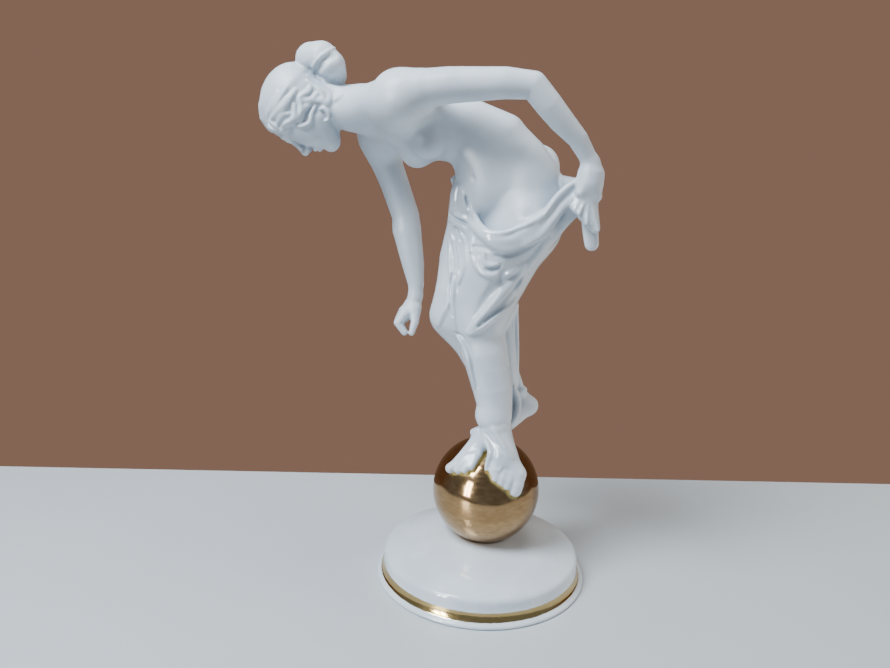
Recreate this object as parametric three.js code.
// Glazed porcelain figurine: a half-draped goddess balances on a gilded ball, on a round domed base.
// The figure is a blend of rounded volumes, one for each bone, muscle and bunch of cloth, placed in
// millimetres. Their common surface is traced on a grid and thinned to a light closed mesh.
// X runs to the right of the front view, Y away from the viewer and Z up from the base's underside.
import * as THREE from "three";

// Driving dimensions
const BASE_RADIUS = 61.5;
const SHOULDER_RADIUS = 57.2;
const SHOULDER_HEIGHT = 13.5;
const BALL_RADIUS = 31.4;
const BALL_CENTRE_X = 1.4;
const BALL_CENTRE_Z = 53.2;
const SEAT_RADIUS = 16.5;
const GAP = 0.35;
const GRID = 0.95;
const FIGURE_TRIANGLES = 7700;
const BASE_TURNS = 44;
const BALL_TURNS = 26;
const BALL_ROWS = 14;

const v = (x, y, z) => new THREE.Vector3(x, y, z);
const mix = (a, b, t) => a + (b - a) * t;
const clamp01 = (t) => Math.min(1, Math.max(0, t));
const smooth = (a, b, x) => {
  const t = clamp01((x - a) / (b - a));
  return t * t * (3 - 2 * t);
};

// A field gives the distance from a point to a rounded volume, negative inside. It carries the
// sphere that encloses it, so that far volumes are passed over.
const field = (at, centre, reach) => ({ at, centre, reach });

// A round bone from a to b, whose radius runs from ra to rb.
function bone(a, b, ra, rb = ra) {
  const [dx, dy, dz] = [b.x - a.x, b.y - a.y, b.z - a.z];
  const l2 = Math.max(dx * dx + dy * dy + dz * dz, 1e-6);
  const at = (x, y, z) => {
    const [px, py, pz] = [x - a.x, y - a.y, z - a.z];
    const t = clamp01((px * dx + py * dy + pz * dz) / l2);
    return Math.hypot(px - dx * t, py - dy * t, pz - dz * t) - mix(ra, rb, t);
  };
  return field(at, a.clone().lerp(b, 0.5), Math.sqrt(l2) / 2 + Math.max(ra, rb));
}

// A local frame of up, left and forward axes at an origin; place() gives a point in it.
function frame(origin, up, left) {
  const u = up.clone().normalize();
  const l = left.clone().addScaledVector(u, -left.dot(u)).normalize();
  const f = l.clone().cross(u);
  const place = (a, b, c) =>
    origin.clone().addScaledVector(u, a).addScaledVector(l, b).addScaledVector(f, c);
  return { u, l, f, place };
}

// An egg with half-sizes along a frame's up, left and forward axes.
function egg(centre, axes, [ru, rl, rf]) {
  const { u, l, f } = axes;
  const at = (x, y, z) => {
    const [px, py, pz] = [x - centre.x, y - centre.y, z - centre.z];
    const a = (px * u.x + py * u.y + pz * u.z) / ru;
    const b = (px * l.x + py * l.y + pz * l.z) / rl;
    const c = (px * f.x + py * f.y + pz * f.z) / rf;
    const k0 = Math.hypot(a, b, c);
    const k1 = Math.hypot(a / ru, b / rl, c / rf);
    return k1 < 1e-9 ? -Math.min(ru, rl, rf) : (k0 * (k0 - 1)) / k1;
  };
  return field(at, centre, Math.max(ru, rl, rf));
}

// A volume made thinner along an axis through its centre, such as a palm or a fold of cloth.
function flattened(shape, axis, share, centre = shape.centre) {
  const n = axis.clone().normalize();
  const gain = 1 / share - 1;
  const at = (x, y, z) => {
    const s = ((x - centre.x) * n.x + (y - centre.y) * n.y + (z - centre.z) * n.z) * gain;
    return shape.at(x + n.x * s, y + n.y * s, z + n.z * s) * share;
  };
  return field(at, shape.centre, shape.reach);
}

// Volumes melted into each other over a width k.
function melt(k, ...parts) {
  const shapes = parts.flat();
  const box = new THREE.Box3();
  for (const s of shapes) {
    box.expandByPoint(s.centre.clone().addScalar(s.reach));
    box.expandByPoint(s.centre.clone().addScalar(-s.reach));
  }
  const centre = box.getCenter(v(0, 0, 0));
  const reach = Math.max(...shapes.map((s) => s.centre.distanceTo(centre) + s.reach)) + k / 4;
  const at = (x, y, z) => {
    let d = 1e9;
    for (const s of shapes) {
      const c = s.centre;
      if (Math.hypot(x - c.x, y - c.y, z - c.z) - s.reach > d + k) continue;
      const e = s.at(x, y, z);
      const h = Math.max(k - Math.abs(d - e), 0);
      d = Math.min(d, e) - (h * h) / (4 * k);
    }
    return d;
  };
  return field(at, centre, reach);
}

// A chain of bones through points, each with its own radius.
function chain(points, radii) {
  return join(points.slice(1).map((p, i) => bone(points[i], p, radii[i], radii[i + 1])));
}

// Volumes side by side, without any melting.
function join(shapes) {
  const { centre, reach } = melt(0.01, shapes);
  const at = (x, y, z) => {
    let d = 1e9;
    for (const s of shapes) d = Math.min(d, s.at(x, y, z));
    return d;
  };
  return field(at, centre, reach);
}

// A volume with a tool's room cut from it, the edge rounded over a width k.
function carved(k, shape, tool) {
  const at = (x, y, z) => {
    const d = shape.at(x, y, z);
    if (d > k) return d;
    const e = -tool.at(x, y, z);
    const h = Math.max(k - Math.abs(d - e), 0);
    return Math.max(d, e) + (h * h) / (4 * k);
  };
  return field(at, shape.centre, shape.reach);
}

// A smooth line through points, with a number of points of its own.
const wavy = (points, count) => new THREE.CatmullRomCurve3(points, false, "catmullrom", 0.5).getPoints(count - 1);

// A strand's radii: full in the middle and thinner at both ends.
const tapered = (radius, count) =>
  Array.from({ length: count }, (_, i) => radius * (0.5 + 0.5 * Math.sin((Math.PI * (i + 0.5)) / count) ** 0.6));

function strand(points, radius) {
  const line = wavy(points, 2 * points.length);
  return chain(line, tapered(radius, line.length));
}

// A round chain moved onto a surface by the shortest way, its middle a height over the surface.
function clinging(shape, points, radius, height) {
  const step = 0.05;
  const spots = points.map((p) => {
    const spot = p.clone();
    for (let i = 0; i < 12; i += 1) {
      const { x, y, z } = spot;
      const slope = v(
        shape.at(x + step, y, z) - shape.at(x - step, y, z),
        shape.at(x, y + step, z) - shape.at(x, y - step, z),
        shape.at(x, y, z + step) - shape.at(x, y, z - step),
      ).normalize();
      spot.addScaledVector(slope, -Math.max(-3, Math.min(3, shape.at(x, y, z) - height)));
    }
    return spot;
  });
  return chain(spots, spots.map(() => radius));
}
// Body frames: up runs along the spine or to the crown, left to her left side, forward to her front.
const CHEST = frame(v(-35, 0, 257.5), v(-0.93, 0, 0.36), v(0.155, -0.904, 0.398));
const HIPS = frame(v(11, 0, 225), v(-0.5, 0, 0.87), v(0.37, -0.91, 0.21));
const HEAD = frame(v(-106, 0, 266), v(-0.97, 0, 0.24), v(0, -1, 0));

// Joints
const SHOULDER_L = v(-50, -27.5, 271.6);
const SHOULDER_R = v(-66.5, 27, 252.5);
const ELBOW_L = v(14.2, -37, 278.8);
const ELBOW_R = v(-52.7, 28, 208);
const WRIST_L = v(44.5, -30, 244);
const WRIST_R = v(-45.3, 24, 162);
const KNEE_L = v(-21.2, 0, 157);
const KNEE_R = v(-7, -7, 154);
const ANKLE_L = v(18, 11, 106);
const ANKLE_R = v(6, -13, 95);

function torso() {
  const c = CHEST.place;
  const h = HIPS.place;
  const trunk = melt(11,
    egg(c(0, 0, 0), CHEST, [25, 19, 14.6]),
    egg(c(9, -1, -3), CHEST, [15, 20, 12]),
    chain([v(-14, -1, 258.6), v(1, -1, 254), v(10.5, -1, 243.4)], [14, 12.9, 12.3]),
    bone(v(-12.5, -5, 241), v(-10, -5, 234), 8),
    egg(h(3, 0, 0.9), HIPS, [19, 22, 15.5]),
    bone(v(12, 0, 238), v(19.5, 3, 231.5), 12.4),
    bone(v(-5, -5, 238), v(-4, -5, 228), 12),
    bone(v(-7, 3, 226), v(-8, 2, 206), 14.5),
    bone(h(-7, 11, -6), h(-8, 12, -6), 12),
    bone(h(-7, -11, -6), h(-8, -12, -6), 12),
  );
  const breasts = [egg(c(0, 9.5, 13.4), CHEST, [8.8, 8.8, 7.8]), egg(c(4.3, -9.5, 13), CHEST, [8.5, 8.2, 7.8])];
  const seat = [egg(v(20.4, 10, 239), HIPS, [12, 11.5, 12.2]), egg(v(18.5, -9, 234), HIPS, [12.5, 12, 12.5])];
  const girdle = melt(10,
    bone(SHOULDER_L, c(6, 9, -8), 9.5, 7),
    bone(SHOULDER_R, c(10, -12, -4), 9.5, 8),
    bone(v(-71, -7, 268.4), v(-56, -19, 273.2), 9.2, 8.6),
    bone(v(-53, -22, 266), c(6, 7, 5), 8.5, 8),
    bone(SHOULDER_R, v(-72, 8, 264.4), 7.8, 7.4),
    bone(SHOULDER_L, SHOULDER_R, 9.5),
    bone(SHOULDER_L, c(13, 4, 5), 9, 8),
    bone(SHOULDER_R, c(13, -4, 5), 9, 8),
  );
  const shaped = melt(6, melt(4.5, trunk, seat), girdle, breasts);
  const spine = clinging(shaped, wavy([c(24, -1, -12), c(8, -2, -16), v(-14, 0, 274), v(2, 1, 270), v(14, 2, 262)], 12), 2.6, 1.7);
  return carved(3.5, shaped, spine);
}

function arms() {
  const near = chain(
    [SHOULDER_L, v(-38, -31, 276), v(-26, -33, 277.8), v(1, -36, 279.5), ELBOW_L, v(22, -36.5, 270.2), v(28.5, -35, 263.2), v(37, -33, 255.1), WRIST_L],
    [9.6, 9.3, 8.6, 7.4, 6.6, 6.5, 6, 4.9, 4],
  );
  const far = chain(
    [SHOULDER_R, v(-65.2, 28, 240), v(-59.4, 28, 226), ELBOW_R, v(-51.7, 27.5, 200), v(-47.4, 26, 180), v(-45.3, 24.5, 169), WRIST_R],
    [9.4, 8.8, 8.1, 7.8, 8.3, 6.4, 4.7, 3.9],
  );
  return [near, far];
}

// The near hand gathers the cloth; the far hand hangs, lightly closed.
function hands() {
  const back = melt(5,
    bone(WRIST_L, v(45.4, -29.5, 236), 4.1, 4.6),
    bone(v(45.8, -29.6, 236), v(48.6, -30.4, 227.8), 3.9, 2.6),
    bone(v(43.4, -30, 238.4), v(40.6, -32.2, 229.6), 3.5, 2.3),
    bone(v(45.8, -29.6, 238), v(46.2, -30.6, 234.4), 4.4, 3),
  );
  const gripping = [0, 1, 2, 3].map((i) => chain(
    [v(47.6 - 0.4 * i, -27.6 + 2.6 * i, 231), v(48.4 - 0.5 * i, -27 + 2.7 * i, 227.4), v(46 - 0.5 * i, -26.4 + 2.7 * i, 225.4)],
    [2.6, 2.2, 1.9],
  ));
  const palm = melt(3, bone(WRIST_R, v(-47, 23.8, 154), 4, 5), bone(v(-48, 24, 154), v(-51.6, 23, 149.4), 4.6, 3.6));
  const closed = [0, 1, 2, 3].map((i) => chain(
    [v(-51 - 0.4 * i, 19.4 + 2.4 * i, 151.6), v(-54.6 - 0.1 * i, 18.6 + 2.2 * i, 146.4), v(-50.8 - 0.7 * i, 18.2 + 2 * i, 141)],
    [3.2, 2.5, 2],
  ));
  const thumb = chain([v(-45, 21.5, 155), v(-44.8, 18.6, 147.4), v(-46.4, 17.2, 141)], [3.4, 2.4, 1.7]);
  return [melt(1.6, back, melt(1.2, gripping)), melt(1.8, palm, melt(1.2, closed), thumb)];
}

// A point on the hair, a share s of the way from one place on the head to another, both given as
// up, left and forward from the middle of the skull.
const SKULL = [17, 15.1, 20.4];
function overSkull(from, to, s) {
  const unit = ([a, b, c]) => v(a / SKULL[0], b / SKULL[1], c / SKULL[2]).normalize();
  const p = unit(from);
  const q = unit(to);
  const turn = Math.acos(Math.min(1, p.dot(q)));
  const m = p.clone().multiplyScalar(Math.sin((1 - s) * turn)).addScaledVector(q, Math.sin(s * turn));
  m.divideScalar(Math.sin(turn));
  return [m.x * SKULL[0], m.y * SKULL[1], m.z * SKULL[2]];
}

// A wavy lock that lies over the skull.
function lock(from, to, sway, phase, radius) {
  const steps = 7;
  const points = [];
  const radii = [];
  for (let i = 0; i <= steps; i += 1) {
    const s = i / steps;
    const [a, b, c] = overSkull(from, to, s);
    const wave = sway * Math.sin(s * 9 + phase) * Math.sin(Math.PI * Math.min(1, s + 0.15));
    const side = Math.sign(b) || 1;
    points.push(HEAD.place(6 + a * 0.87 + wave, b * 0.87, -1 + c * 0.88 + wave * 0.3 * side));
    radii.push(mix(radius, radius * 0.8, s));
  }
  return chain(points, radii);
}

function head() {
  const h = HEAD.place;
  const skull = melt(6,
    egg(h(6, 0, -1), HEAD, SKULL.map((r) => r - 0.6)),
    egg(h(-8, 0, 7), HEAD, [14.5, 11.5, 14]),
    bone(h(-20, 0, 14.6), h(-19, 0, 13.6), 3.5),
  );
  const face = melt(1.5,
    skull,
    bone(h(3, 0, 19.6), h(-7, 0, 23.2), 1.5, 2),
    bone(h(-11.6, 2, 20.2), h(-11.6, -2, 20.2), 1.6),
    bone(h(-14.6, 1.5, 19.6), h(-14.6, -1.5, 19.6), 1.6),
  );
  const locks = [];
  for (const side of [1, -1]) {
    for (let i = 0; i < 6; i += 1) {
      const t = i / 5;
      const from = [mix(9, -14, t ** 1.1), side * mix(2.5, 14, Math.min(1, t * 1.7)), mix(20, 3, t)];
      const to = [mix(-2, -16, t), side * mix(2, 7, t), -19 + 4 * t];
      locks.push(lock(from, to, 1.3, i * 1.7, 2.2));
    }
  }
  const bun = melt(2,
    bone(h(0.2, -1, -24.8), h(-5, 2, -27), 8.8, 8.2),
    bone(h(-11.3, -2, -20), h(-10.6, 3, -24.2), 7.8, 7.8),
    bone(h(-13, 0, -8), h(-18.5, 0, -10), 8, 6),
  );
  const neck = melt(6, bone(h(-10, 0, -5), v(-78, 0, 265.8), 11, 10.4), bone(v(-78, 0, 265.8), v(-62, 0, 264.5), 10.4, 12.5));
  return { face: melt(1, face, join(locks)), bun, neck };
}

function legs() {
  const left = chain([v(17, -11, 214), v(0, -6, 188), KNEE_L, v(-8, 5, 139), ANKLE_L], [17, 15, 11, 9.5, 6]);
  const right = chain(
    [v(8, 10, 212), KNEE_R, v(-3, -9, 139), v(2.2, -11, 120), v(3.9, -12, 110), v(3.6, -12.4, 104), v(5.2, -13.8, 98.5), v(6.4, -15.2, 94), v(8, -17, 89)],
    [16, 12, 12.6, 11.2, 9.9, 10.3, 8.7, 7.6, 7],
  );
  return melt(4, left, right);
}

function feet() {
  const left = melt(1.2,
    melt(4,
      bone(ANKLE_L, v(24.5, 11, 102.5), 5.6, 5),
      flattened(bone(v(21, 9, 102), v(0, -8, 89), 6, 6.5), v(0.3, -0.8, 0.5), 0.9),
      flattened(bone(v(0, -8, 89), v(-13, -17.5, 77.5), 6.8, 4.4), v(-0.4, -0.5, 0.75), 0.75),
    ),
    chain([v(-12.5, -17, 78.5), v(-16.5, -18.5, 75.5), v(-19, -18.6, 73)], [3.1, 2.6, 2.9]),
    chain([v(-9.5, -18, 80), v(-13, -21.3, 76.5), v(-14.6, -22.3, 73.8)], [2.5, 2.1, 2.2]),
    chain([v(-6.5, -18, 81), v(-9.4, -22, 77), v(-10.8, -23.3, 74.6)], [2.5, 2, 2.1]),
    chain([v(-3.8, -17, 82.5), v(-6, -21.5, 78.8), v(-7.4, -23, 76.6)], [2.5, 1.9, 2]),
  );
  const right = melt(1.2,
    melt(4,
      bone(ANKLE_R, v(10, -19, 84), 7.5, 7),
      bone(v(10, -19, 84), v(18.5, -23, 74), 6.5, 4.8),
      bone(v(8, -20, 82), v(6, -25, 76), 6, 3.6),
    ),
    chain([v(18.3, -23, 74), v(18.4, -25.4, 69), v(17.6, -25.8, 65.4)], [4.6, 3.8, 3.6]),
    chain([v(14, -24.6, 74), v(13.4, -26.8, 71), v(12.9, -27.4, 68.8)], [3.4, 2.9, 2.6]),
    chain([v(10.6, -25, 75), v(10, -27.2, 72.6), v(9.6, -27.6, 70.8)], [3.2, 2.7, 2.4]),
    chain([v(7, -24.8, 76), v(6.6, -27, 74.2), v(6.4, -27.3, 72.6)], [3, 2.4, 2.2]),
    strand([v(-2, -16, 96), v(0.2, -19.4, 91.8), v(2.4, -21.6, 88.2), v(2.8, -23.6, 84.8), v(1.6, -24, 79.6), v(1, -25, 76.4)], 1.7),
    bone(v(-7.4, -7, 91), v(-4.6, -9.6, 93), 1.7, 1.9),
  );
  return [left, right];
}

// Height of the cloth's upper edge: low across the near hip, high around the back.
const EDGE = [[-30, 234], [-22, 230], [-16, 220], [-11, 211.5], [-5, 206], [4, 203], [12, 206], [20, 210.5], [24, 214.5], [27, 220], [29, 226], [31, 232]];
const BACK_EDGE = 232;
function edgeHeight(x, y) {
  let low = EDGE[0][1];
  EDGE.slice(1).forEach(([x1, z1], i) => {
    const [x0, z0] = EDGE[i];
    if (x > x0) low = mix(z0, z1, clamp01((x - x0) / (x1 - x0)));
  });
  return mix(low, BACK_EDGE, smooth(-12, 4, y));
}

// A chain laid on a surface along a path of [x, z] seen from the front, or from behind. Its middle
// lies a height over the surface, or under it if the height is negative.
function laid(shape, path, radii, height, behind = false) {
  const way = behind ? -1 : 1;
  const points = path.map(([x, z]) => {
    let [y, nearest, least] = [-80 * way, 0, 1e9];
    for (let i = 0; i < 60 && least > 0.02 && y * way < 60; i += 1) {
      const d = shape.at(x, y, z);
      if (d < least) [least, nearest] = [d, y];
      y += way * Math.max(d, 0.02) * 0.9;
    }
    return v(x, nearest - way * height, z);
  });
  return chain(points, radii);
}

// A smooth fold laid on a surface, thinner at both ends.
function fold(shape, path, radius, height) {
  const points = wavy(path.map(([x, z]) => v(x, 0, z)), 2 * path.length);
  return laid(shape, points.map(({ x, z }) => [x, z]), tapered(radius, points.length), height);
}

// Ridges and grooves of the cloth, each with its path, its greatest radius and its height.
const RIDGES = [
  [[[-19.4, 228.4], [-17.2, 221.9], [-13.4, 214]], 1.5, 0],
  [[[-22.4, 213.3], [-17.6, 212.2], [-13.6, 210]], 1.4, 0],
  [[[-13.7, 212.6], [-13, 208.6], [-12, 202.7], [-12.6, 196]], 1.5, -0.1],
  [[[-21.4, 173], [-21.5, 162.2], [-19, 152.1]], 1.4, -0.3],
  [[[-23.5, 166.2], [-26.2, 160], [-29, 153.4]], 1.5, -0.4],
  [[[-11.6, 192.7], [-8.9, 188.1], [-4.9, 185.4], [1.2, 185.2], [7.3, 186], [13, 189.6]], 1.8, 0],
  [[[-5.3, 196.2], [-5.5, 192.4], [-3.1, 190.2], [1.3, 190.6]], 1.4, 0],
  [[[15, 191], [12.2, 184.9], [5.7, 176.8], [-0.7, 168.4], [-5.3, 161.7], [-12, 152.4]], 2.9, -0.5],
  [[[12, 171], [9.1, 167.6], [3.6, 163.9], [-1.1, 160.2], [-5.1, 156.3], [-10.6, 152.1]], 1.6, 0.1],
  [[[22, 198], [18.2, 192], [14.9, 185.5], [12.6, 177.4]], 2.4, -0.9],
  [[[26, 205], [21.6, 196], [18.4, 186]], 2, -0.8],
  [[[-18.7, 149.9], [-14.9, 144.6], [-11.6, 137.6], [-9.6, 130], [-7.2, 122]], 1.5, 0],
];
const GROOVES = [
  [[[-21.3, 229.5], [-22.3, 224], [-22.4, 218.5]], 1.8, 0.3],
  [[[0.7, 195.6], [4.7, 195.8], [11.3, 197.6], [17.5, 200.6], [22, 204.4]], 2, 0.4],
  [[[6, 188], [2.7, 181.6], [-4.3, 171.2], [-9.5, 162]], 3, 2],
  [[[15.5, 184], [13.6, 180.8], [8.7, 173.4], [3.5, 167.3], [-1.8, 162.2], [-6.4, 157.4]], 1.9, 0.4],
  [[[-19.4, 150.4], [-14.2, 147.6], [-10, 139.3], [-7.8, 129.3], [-6.2, 122]], 1.2, 0.2],
];

function skirt() {
  return melt(8,
    chain([v(17, -11, 214), v(0, -6, 188), KNEE_L], [18.5, 16.5, 11.2]),
    chain([v(8, 10, 212), KNEE_R], [17.5, 13.5]),
    chain([v(-8, 3, 222), v(-9.5, 4, 205), v(-14, 3, 188), v(-17.5, 1, 172), KNEE_L, v(-12, -1, 138.5), v(-6, -1, 127), v(-3, -2, 118)],
      [17.8, 17.6, 16.4, 14.2, 11.9, 7.2, 6, 5.6]),
    bone(v(15.8, 0, 206), v(-0.5, -3, 165), 15.3, 10.2),
    bone(v(20, 2, 222), v(17.6, 0, 207), 16.4, 15.2),
    bone(v(2, -14, 205), v(-3, -11, 162), 12, 10),
  );
}

// The band of cloth between hip and hand: a crest, a lip and the sheet between them.
function gathered() {
  const crest = wavy([v(16, -29, 213), v(23, -30, 217.2), v(29.3, -30, 226.4), v(36, -29.5, 233), v(42.5, -29, 236)], 9);
  const lip = wavy([v(16, -28.2, 203), v(22.5, -28.6, 207.2), v(28, -29, 214.8), v(34.5, -29, 223.8), v(42, -28.6, 229.6)], 9);
  const middle = wavy([v(15, -27, 208), v(22.7, -27.6, 212.2), v(28.6, -27.8, 220.6), v(35.2, -27.8, 228.4), v(43, -27.8, 232.6)], 9);
  const sheet = middle.slice(1).map((p, i) => flattened(bone(middle[i], p, 5 - 0.23 * i, 4.77 - 0.23 * i), v(0, 1, 0), 0.5));
  return melt(2.2, chain(crest, crest.map(() => 1.6)), chain(lip, lip.map(() => 1.9)), join(sheet));
}

function cloth(ground, under) {
  const wrap = field(
    (x, y, z) => Math.max(ground.at(x, y, z), (z - edgeHeight(x, y)) * 0.7),
    ground.centre, ground.reach,
  );
  const edge = fold(ground, [[-23, 231], [-19, 227.5], [-15, 220], [-11.6, 214.5], [-8, 209.4], [-3.6, 207], [4.1, 207.4], [10.6, 210.2], [17, 213.3]], 1.6, 0.4);
  const band = [
    fold(ground, [[-13, 209.6], [-6, 206], [1, 203.6], [8, 203.8], [17.4, 208]], 3, -0.9),
    fold(ground, [[-12.9, 210.6], [-8.9, 208], [-4.5, 204.4], [0.1, 200.8], [4.6, 199], [11.2, 200.4], [17.8, 203.4]], 2, 0.2),
  ];
  const sheets = [
    bone(v(43, -27.5, 232.5), v(31, -10, 233), 3, 3.4),
    bone(v(44, -26, 229), v(29, 2, 229), 3.2, 5),
    bone(v(44, -26, 226), v(27, 0, 221), 3.2, 5),
    ...[[28, -6, 230], [28, -14, 220], [28, -18, 211], [26, -16, 203]].map(([x, y, z]) => bone(v(45, -27, 228), v(x, y, z), 3.2, 3.4)),
  ];
  const behind = laid(ground, [[-24, 231], [-16, 232], [-4, 232.5], [8, 232.5], [20, 232], [29, 232]], [1.8, 2, 2.2, 2.2, 2.2, 2.4], 0.2, true);
  const round = chain([v(28, 15, 231.5), v(34, 4, 231), v(37, -10, 230.5), v(43, -26, 230)], [2.4, 2.4, 2.6, 2.8]);
  const draped = melt(3, wrap, band, behind, round, sheets, gathered());
  const ridged = melt(1.8, draped, edge, RIDGES.map(([path, radius, height]) => fold(under, path, radius, height)));
  const filling = bone(v(6, 3, 160), v(11, 4, 118), 8, 6);
  const strip = melt(1.6,
    flattened(chain([v(9.6, 2, 168), v(11, 3, 145), v(13, 6, 125), v(16.8, 9, 112)], [4, 4, 3.6, 4.5]), v(0, 1, 0), 0.8),
    strand([v(13, -1.6, 164), v(14.2, -0.4, 150), v(15.3, 1.4, 134), v(16, 3.4, 122), v(19.6, 5.4, 114)], 1.4),
    strand([v(14.4, -1, 117), v(17.2, 1, 109), v(17, -2, 101.4), v(13.4, -6, 95.6)], 1.9),
  );
  const fan = melt(2,
    [[39.4, -31, 221.4], [42.6, -31, 217.8], [45.8, -31, 214.8], [49, -30.4, 212]].map(([x, y, z]) =>
      flattened(bone(v(44.4, -30.4, 231), v(x, y, z), 1.8, 2.6), v(0, 1, 0), 0.7)),
    bone(v(46, -28, 229), v(48.6, -27.6, 214), 3, 2.8),
  );
  const tongue = flattened(chain([v(46.6, -26.6, 216), v(47.6, -25.6, 209), v(48.6, -25.2, 203.4)], [4.4, 4, 3.6]), v(0, 1, 0), 0.6);
  return [ridged, melt(0.8, fan, tongue), join([strip, filling])];
}

function figure() {
  const { face, bun, neck } = head();
  const ground = skirt();
  const under = melt(4, ground, legs());
  const whole = melt(2,
    melt(4, melt(7, torso(), arms(), neck), legs()),
    melt(2, hands()),
    melt(3, face, bun),
    feet(),
    melt(3, cloth(ground, under)),
  );
  return carved(1.4, whole, join(GROOVES.map(([path, radius, height]) => fold(under, path, radius, height))));
}

// Whether the corners of a cell that a mask names hang together along its edges.
function joined(mask, edges) {
  let group = mask & -mask;
  for (let i = 0; i < 7; i += 1) {
    for (const [a, b] of edges) {
      const both = (1 << a) | (1 << b);
      if ((mask & both) === both && group & both) group |= both;
    }
  }
  return group === mask;
}

// Surface nets: one point in each grid cell that the surface crosses, placed at the mean of the
// crossings on the cell's edges, and one quad for each grid edge that is crossed. Where two parts of
// the surface would touch in one cell, the gap between them is filled first.
function traceSurface(shape, step) {
  const margin = 3 * step;
  const low = shape.centre.clone().addScalar(-shape.reach - margin);
  const n = Math.ceil((2 * (shape.reach + margin)) / step / 8) * 8;
  const line = n + 1;
  const index = (i, j, k) => (k * line + j) * line + i;
  const value = new Float32Array(line * line * line).fill(1e3);
  const blocks = [];
  const fill = (i0, j0, k0, size) => {
    const half = (size / 2) * step;
    const c = [low.x + i0 * step + half, low.y + j0 * step + half, low.z + k0 * step + half];
    const d = shape.at(...c);
    if (Math.abs(d) > half * 1.7321 * 1.25 + step * 2) {
      if (d < 0) setBlock(i0, j0, k0, size, -1e3);
      return;
    }
    if (size > 4) {
      const h = size / 2;
      for (let m = 0; m < 8; m += 1) fill(i0 + (m & 1) * h, j0 + ((m >> 1) & 1) * h, k0 + (m >> 2) * h, h);
      return;
    }
    blocks.push([i0, j0, k0, size]);
    for (let k = k0; k <= k0 + size; k += 1) {
      for (let j = j0; j <= j0 + size; j += 1) {
        for (let i = i0; i <= i0 + size; i += 1) {
          const at = index(i, j, k);
          if (Math.abs(value[at]) < 900) continue;
          value[at] = shape.at(low.x + i * step, low.y + j * step, low.z + k * step) || 1e-6;
        }
      }
    }
  };
  const setBlock = (i0, j0, k0, size, to) => {
    for (let k = k0; k <= k0 + size; k += 1) {
      for (let j = j0; j <= j0 + size; j += 1) {
        for (let i = i0; i <= i0 + size; i += 1) {
          const at = index(i, j, k);
          if (value[at] > 900) value[at] = to;
        }
      }
    }
  };
  const block = 8;
  for (let k = 0; k < n; k += block) {
    for (let j = 0; j < n; j += block) {
      for (let i = 0; i < n; i += block) fill(i, j, k, block);
    }
  }
  const ids = new Int32Array(n * n * n).fill(-1);
  const points = [];
  const strides = [1, line, line * line];
  const corners = [0, 1, 2, 3, 4, 5, 6, 7].map((m) => [m & 1, (m >> 1) & 1, m >> 2]);
  const offsets = corners.map(([a, b, c]) => a + b * strides[1] + c * strides[2]);
  const edges = [];
  corners.forEach((a, m) => {
    for (const axis of [0, 1, 2]) if (!a[axis]) edges.push([m, m | (1 << axis)]);
  });
  const eachCell = (visit) => {
    for (const [i0, j0, k0, size] of blocks) {
      for (let k = k0; k < k0 + size; k += 1) {
        for (let j = j0; j < j0 + size; j += 1) {
          for (let i = i0; i < i0 + size; i += 1) visit(i, j, k, index(i, j, k));
        }
      }
    }
  };
  const insideOf = (base) => offsets.reduce((sum, offset, m) => sum + (value[base + offset] < 0 ? 1 << m : 0), 0);
  const whole = Array.from({ length: 256 }, (_, mask) => joined(mask, edges) && joined(255 - mask, edges));
  for (let changed = true; changed;) {
    changed = false;
    eachCell((i, j, k, base) => {
      if (whole[insideOf(base)]) return;
      const outer = offsets.map((offset) => base + offset).filter((at) => value[at] >= 0);
      value[outer.reduce((a, b) => (value[a] < value[b] ? a : b))] = -1e-3;
      changed = true;
    });
  }
  eachCell((i, j, k, base) => {
    const inside = insideOf(base);
    if (inside === 0 || inside === 255) return;
    const sum = [0, 0, 0];
    let count = 0;
    for (const [a, b] of edges) {
      const da = value[base + offsets[a]];
      const db = value[base + offsets[b]];
      if (da < 0 === db < 0) continue;
      const t = da / (da - db);
      for (const axis of [0, 1, 2]) sum[axis] += mix(corners[a][axis], corners[b][axis], t);
      count += 1;
    }
    ids[(k * n + j) * n + i] = points.length / 3;
    points.push(
      low.x + (i + sum[0] / count) * step,
      low.y + (j + sum[1] / count) * step,
      low.z + (k + sum[2] / count) * step,
    );
  });
  const faces = [];
  const cell = (i, j, k) => ids[(k * n + j) * n + i];
  const quad = (a, b, c, d, flip) => {
    if (flip) faces.push(a, c, b, a, d, c);
    else faces.push(a, b, c, a, c, d);
  };
  eachCell((i, j, k, base) => {
    const inside = value[base] < 0;
    if (inside !== value[base + 1] < 0) {
      quad(cell(i, j - 1, k - 1), cell(i, j, k - 1), cell(i, j, k), cell(i, j - 1, k), !inside);
    }
    if (inside !== value[base + strides[1]] < 0) {
      quad(cell(i - 1, j, k - 1), cell(i - 1, j, k), cell(i, j, k), cell(i, j, k - 1), !inside);
    }
    if (inside !== value[base + strides[2]] < 0) {
      quad(cell(i - 1, j - 1, k), cell(i, j - 1, k), cell(i, j, k), cell(i - 1, j, k), !inside);
    }
  });
  return { points, faces };
}

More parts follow.
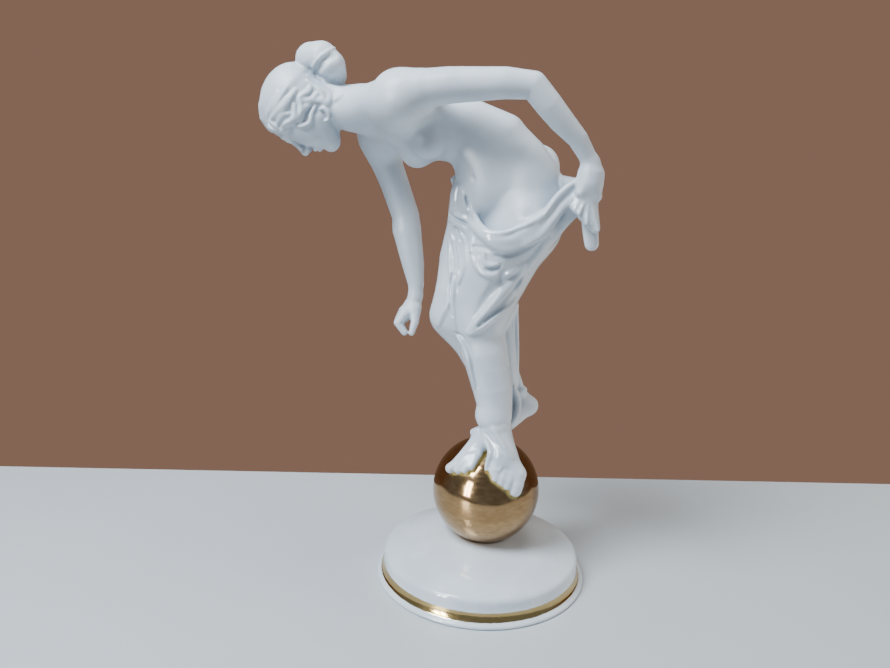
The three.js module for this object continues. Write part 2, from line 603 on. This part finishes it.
// Thins a mesh to a number of triangles by folding away the edges that change its form least.
// Each point keeps the sum of the squared distances to the planes around it; a fold is refused
// where it would pinch the surface or turn a face over.
function thin({ points, faces }, target) {
  const count = points.length / 3;
  const p = Float64Array.from(points);
  const q = new Float64Array(count * 10);
  const tri = Int32Array.from(faces);
  const alive = new Uint8Array(tri.length / 3).fill(1);
  const around = Array.from({ length: count }, () => []);
  const normal = (a, b, c) => {
    const ux = p[3 * b] - p[3 * a];
    const uy = p[3 * b + 1] - p[3 * a + 1];
    const uz = p[3 * b + 2] - p[3 * a + 2];
    const wx = p[3 * c] - p[3 * a];
    const wy = p[3 * c + 1] - p[3 * a + 1];
    const wz = p[3 * c + 2] - p[3 * a + 2];
    return [uy * wz - uz * wy, uz * wx - ux * wz, ux * wy - uy * wx];
  };
  for (let t = 0; t < alive.length; t += 1) {
    const [a, b, c] = [tri[3 * t], tri[3 * t + 1], tri[3 * t + 2]];
    const m = normal(a, b, c);
    const area = Math.hypot(...m) || 1e-12;
    const [x, y, z] = m.map((e) => e / area);
    const w = -(x * p[3 * a] + y * p[3 * a + 1] + z * p[3 * a + 2]);
    const terms = [x * x, x * y, x * z, x * w, y * y, y * z, y * w, z * z, z * w, w * w];
    for (const o of [a, b, c]) {
      around[o].push(t);
      for (let e = 0; e < 10; e += 1) q[10 * o + e] += terms[e] * area;
    }
  }
  const version = new Int32Array(count);
  const gone = new Uint8Array(count);
  const cost = (a, b) => {
    const s = new Array(10);
    for (let e = 0; e < 10; e += 1) s[e] = q[10 * a + e] + q[10 * b + e];
    const det = s[0] * (s[4] * s[7] - s[5] * s[5]) - s[1] * (s[1] * s[7] - s[5] * s[2])
      + s[2] * (s[1] * s[5] - s[4] * s[2]);
    const tests = [];
    const mid = [0, 1, 2].map((e) => (p[3 * a + e] + p[3 * b + e]) / 2);
    const size = Math.hypot(...[0, 1, 2].map((e) => p[3 * a + e] - p[3 * b + e]));
    if (Math.abs(det) > 1e-6 * Math.abs(s[0] + s[4] + s[7]) ** 3) {
      const [dx, dy, dz] = [-s[3], -s[6], -s[8]];
      const x = (dx * (s[4] * s[7] - s[5] * s[5]) - s[1] * (dy * s[7] - s[5] * dz)
        + s[2] * (dy * s[5] - s[4] * dz)) / det;
      const y = (s[0] * (dy * s[7] - s[5] * dz) - dx * (s[1] * s[7] - s[5] * s[2])
        + s[2] * (s[1] * dz - dy * s[2])) / det;
      const z = (s[0] * (s[4] * dz - dy * s[5]) - s[1] * (s[1] * dz - dy * s[2])
        + dx * (s[1] * s[5] - s[4] * s[2])) / det;
      if (Math.hypot(x - mid[0], y - mid[1], z - mid[2]) < 2 * size) tests.push([x, y, z]);
    }
    if (!tests.length) tests.push(mid, [p[3 * a], p[3 * a + 1], p[3 * a + 2]], [p[3 * b], p[3 * b + 1], p[3 * b + 2]]);
    let best = null;
    for (const [x, y, z] of tests) {
      const e = s[0] * x * x + 2 * s[1] * x * y + 2 * s[2] * x * z + 2 * s[3] * x + s[4] * y * y
        + 2 * s[5] * y * z + 2 * s[6] * y + s[7] * z * z + 2 * s[8] * z + s[9];
      if (!best || e < best.e) best = { e, at: [x, y, z] };
    }
    return { e: best.e + 1e-4 * size * size * size, at: best.at };
  };
  const heap = [];
  const up = (i) => {
    while (i > 0) {
      const parent = (i - 1) >> 1;
      if (heap[parent].e <= heap[i].e) break;
      [heap[parent], heap[i]] = [heap[i], heap[parent]];
      i = parent;
    }
  };
  const down = (i) => {
    for (;;) {
      let least = i;
      for (const child of [2 * i + 1, 2 * i + 2]) {
        if (child < heap.length && heap[child].e < heap[least].e) least = child;
      }
      if (least === i) return;
      [heap[least], heap[i]] = [heap[i], heap[least]];
      i = least;
    }
  };
  const push = (a, b) => {
    const { e, at } = cost(a, b);
    heap.push({ e, at, a, b, va: version[a], vb: version[b] });
    up(heap.length - 1);
  };
  const pop = () => {
    const top = heap[0];
    const last = heap.pop();
    if (heap.length) {
      heap[0] = last;
      down(0);
    }
    return top;
  };
  for (let t = 0; t < alive.length; t += 1) {
    for (let e = 0; e < 3; e += 1) {
      const [a, b] = [tri[3 * t + e], tri[3 * t + ((e + 1) % 3)]];
      if (a < b) push(a, b);
    }
  }
  const ring = (a) => {
    const out = new Set();
    for (const t of around[a]) for (let e = 0; e < 3; e += 1) out.add(tri[3 * t + e]);
    out.delete(a);
    return out;
  };
  let left = alive.length;
  while (left > target && heap.length) {
    const { at, a, b, va, vb } = pop();
    if (gone[a] || gone[b] || version[a] !== va || version[b] !== vb) continue;
    const ra = ring(a);
    const shared = [...ring(b)].filter((o) => ra.has(o));
    if (shared.length !== 2 || shared.some((o) => around[o].length < 4)) continue;
    let folded = false;
    for (const [own, other] of [[a, b], [b, a]]) {
      for (const t of around[own]) {
        const ids = [tri[3 * t], tri[3 * t + 1], tri[3 * t + 2]];
        if (ids.includes(other)) continue;
        const before = normal(...ids);
        const kept = [p[3 * own], p[3 * own + 1], p[3 * own + 2]];
        for (let e = 0; e < 3; e += 1) p[3 * own + e] = at[e];
        const after = normal(...ids);
        for (let e = 0; e < 3; e += 1) p[3 * own + e] = kept[e];
        const dot = before[0] * after[0] + before[1] * after[1] + before[2] * after[2];
        if (dot < 0.25 * Math.hypot(...before) * Math.hypot(...after) || Math.hypot(...after) < 1e-4) folded = true;
        if (folded) break;
      }
      if (folded) break;
    }
    if (folded) continue;
    for (let e = 0; e < 3; e += 1) p[3 * a + e] = at[e];
    for (let e = 0; e < 10; e += 1) q[10 * a + e] += q[10 * b + e];
    const kept = [];
    for (const t of around[a]) {
      if ([0, 1, 2].some((e) => tri[3 * t + e] === b)) {
        alive[t] = 0;
        left -= 1;
        for (const o of shared) around[o] = around[o].filter((s) => s !== t);
      } else {
        kept.push(t);
      }
    }
    for (const t of around[b]) {
      if (!alive[t]) continue;
      for (let e = 0; e < 3; e += 1) if (tri[3 * t + e] === b) tri[3 * t + e] = a;
      kept.push(t);
    }
    around[a] = kept;
    gone[b] = 1;
    version[a] += 1;
    for (const o of ring(a)) push(a, o);
  }
  const ids = new Map();
  const outPoints = [];
  const outFaces = [];
  for (let t = 0; t < alive.length; t += 1) {
    if (!alive[t]) continue;
    for (let e = 0; e < 3; e += 1) {
      const o = tri[3 * t + e];
      if (!ids.has(o)) {
        ids.set(o, outPoints.length / 3);
        outPoints.push(p[3 * o], p[3 * o + 1], p[3 * o + 2]);
      }
      outFaces.push(ids.get(o));
    }
  }
  return { points: outPoints, faces: outFaces };
}

// Materials: white glaze, and gilding fired on the glaze.
const PORCELAIN = { color: 0xdfe6ea, roughness: 0.12, metalness: 0 };
const GILT = { color: 0xb08a4e, roughness: 0.16, metalness: 1 };

function named(name, geometry, look) {
  const mesh = new THREE.Mesh(geometry, new THREE.MeshStandardMaterial(look));
  mesh.name = name;
  return mesh;
}

function geometryOf({ points, faces }) {
  const geometry = new THREE.BufferGeometry();
  geometry.setAttribute("position", new THREE.Float32BufferAttribute(points, 3));
  geometry.setIndex(faces);
  return geometry;
}

// A turned body from its outline of radius and height, listed from the bottom up.
function turned(outline, turns) {
  const geometry = new THREE.LatheGeometry(outline.map(([r, z]) => new THREE.Vector2(r, z)), turns);
  geometry.rotateX(Math.PI / 2);
  return geometry;
}

// The ball is stood clear of the base by a hair, in a seat of the ball's own curve. The dome leans to
// the ball's centre, which lies a little to the right of the base's.
function base() {
  const seatRadius = BALL_RADIUS + GAP;
  const seatDepth = (r) => BALL_CENTRE_Z - Math.sqrt(seatRadius ** 2 - r ** 2);
  const outline = [[0, 0], [BASE_RADIUS - 0.6, 0], [BASE_RADIUS, 0.7], [BASE_RADIUS, 1.6], [BASE_RADIUS - 2.4, 2.9]];
  outline.push([57.6, 6.6], [SHOULDER_RADIUS, 11]);
  for (let i = 0; i <= 3; i += 1) {
    const turn = (i / 3) * 1.2;
    outline.push([SHOULDER_RADIUS - 3.4 + 3.4 * Math.cos(turn), SHOULDER_HEIGHT - 0.8 + 3.2 * Math.sin(turn)]);
  }
  const rim = [SEAT_RADIUS, seatDepth(SEAT_RADIUS)];
  const [r1, z1] = outline[outline.length - 1];
  for (let i = 1; i <= 3; i += 1) {
    const t = i / 4;
    outline.push([mix(r1, rim[0], t), mix(z1, rim[1] - 0.2, t) + 1.1 * Math.sin(Math.PI * t)]);
  }
  outline.push(rim);
  for (let i = 1; i <= 3; i += 1) {
    const r = SEAT_RADIUS * (1 - i / 3);
    outline.push([r, seatDepth(r)]);
  }
  const geometry = turned(outline, BASE_TURNS);
  const place = geometry.attributes.position;
  for (let i = 0; i < place.count; i += 1) {
    const [x, y, z] = [place.getX(i), place.getY(i), place.getZ(i)];
    if (z > SHOULDER_HEIGHT) place.setX(i, x + BALL_CENTRE_X * smooth(SHOULDER_RADIUS, SEAT_RADIUS, Math.hypot(x, y)));
  }
  return geometry;
}

function ball() {
  const outline = [];
  for (let i = 0; i <= BALL_ROWS; i += 1) {
    const turn = Math.PI * (i / BALL_ROWS);
    outline.push([i % BALL_ROWS ? BALL_RADIUS * Math.sin(turn) : 0, BALL_CENTRE_Z - BALL_RADIUS * Math.cos(turn)]);
  }
  return turned(outline, BALL_TURNS).translate(BALL_CENTRE_X, 0, 0);
}

// The figure's volumes with the ball's room taken away.
function standing(shape) {
  const room = BALL_RADIUS + GAP;
  const at = (x, y, z) => Math.max(shape.at(x, y, z), room - Math.hypot(x - BALL_CENTRE_X, y, z - BALL_CENTRE_Z));
  return field(at, shape.centre, shape.reach);
}

const group = new THREE.Group();
group.name = "figurine";
const body = thin(traceSurface(standing(figure()), GRID), FIGURE_TRIANGLES);
group.add(
  named("figure", geometryOf(body), PORCELAIN),
  named("ball", ball(), GILT),
  named("base", base(), PORCELAIN),
);
export default group;
